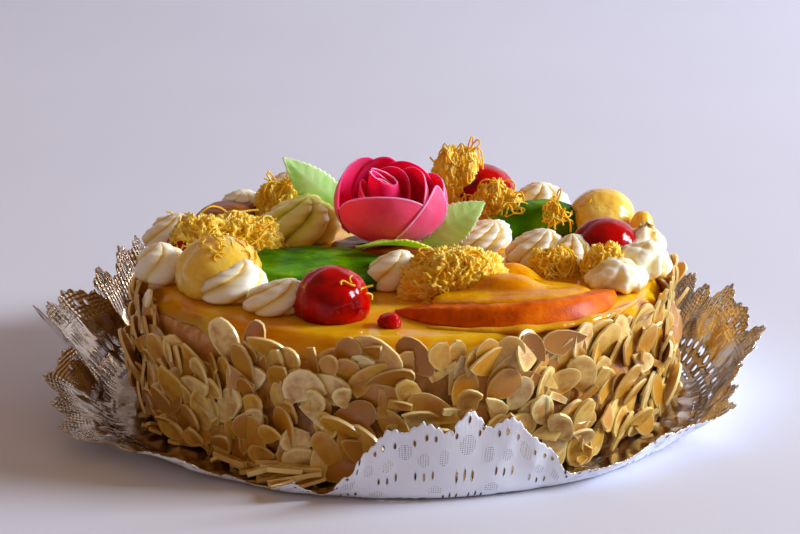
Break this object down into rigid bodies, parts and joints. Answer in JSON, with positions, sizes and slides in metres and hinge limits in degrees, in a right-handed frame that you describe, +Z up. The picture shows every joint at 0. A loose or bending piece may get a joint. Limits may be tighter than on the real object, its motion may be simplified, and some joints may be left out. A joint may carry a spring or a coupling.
{
  "type": "fruit topped cake",
  "caption": "Round glazed cake with sliced almonds on its side, topped with candied fruit, cream, egg threads and a wafer rose, in a creased lace foil doily.",
  "frame": {"origin": "Centre of the flat underside of the doily, on the surface the cake stands on, under the cake's axis.", "axes": "+Z up along the cake's axis, -Y towards the front as the picture shows it, +X to the right of that view."},
  "size_m": [0.2799, 0.2535, 0.0893],
  "materials": {
    "almond": "dull, slightly waxy sliced almond on cream",
    "yolk_glaze": "wet, glossy yolk glaze",
    "silver_foil": "embossed bright foil inside, white paper outside",
    "whipped_cream": "soft satin cream",
    "glace_cherry": "glossy, partly translucent candied cherry",
    "candied_apricot": "glossy, partly translucent candied fruit",
    "candied_papaya": "glossy, partly translucent candied fruit",
    "candied_green_pear": "glossy, partly translucent candied fruit",
    "egg_thread": "moist, shiny egg thread",
    "pink_wafer": "matt wafer paper",
    "green_wafer": "matt wafer paper"
  },
  "bodies": {
    "root": {"almond_cake": "almond", "apricot_drop": "candied_apricot", "ball_left": "candied_apricot", "ball_right": "candied_apricot", "cherry_back": "glace_cherry", "cherry_bit": "glace_cherry", "cherry_front": "glace_cherry", "cherry_left": "glace_cherry", "cherry_right": "glace_cherry", "cream_back_left_a": "whipped_cream", "cream_back_left_b": "whipped_cream", "cream_back_middle": "whipped_cream", "cream_back_right": "whipped_cream", "cream_behind_slice": "whipped_cream", "cream_centre": "whipped_cream", "cream_dollop": "whipped_cream", "cream_front_a": "whipped_cream", "cream_front_b": "whipped_cream", "cream_left_high": "whipped_cream", "cream_left_low": "whipped_cream", "cream_middle_a": "whipped_cream", "cream_middle_b": "whipped_cream", "cream_middle_c": "whipped_cream", "doily": "silver_foil", "green_slice_back": "candied_green_pear", "green_slice_left": "candied_green_pear", "leaf_back": "green_wafer", "leaf_front": "green_wafer", "leaf_right": "green_wafer", "rose": "pink_wafer", "slice_back_left": "candied_papaya", "slice_centre": "candied_papaya", "slice_front": "candied_papaya", "threads_back": "egg_thread", "threads_back_left": "egg_thread", "threads_centre": "egg_thread", "threads_cherry_back": "egg_thread", "threads_left": "egg_thread", "threads_left_cherry": "egg_thread", "threads_middle": "egg_thread", "threads_right": "egg_thread", "yolk_glaze": "yolk_glaze"}
  },
  "joints": []
}
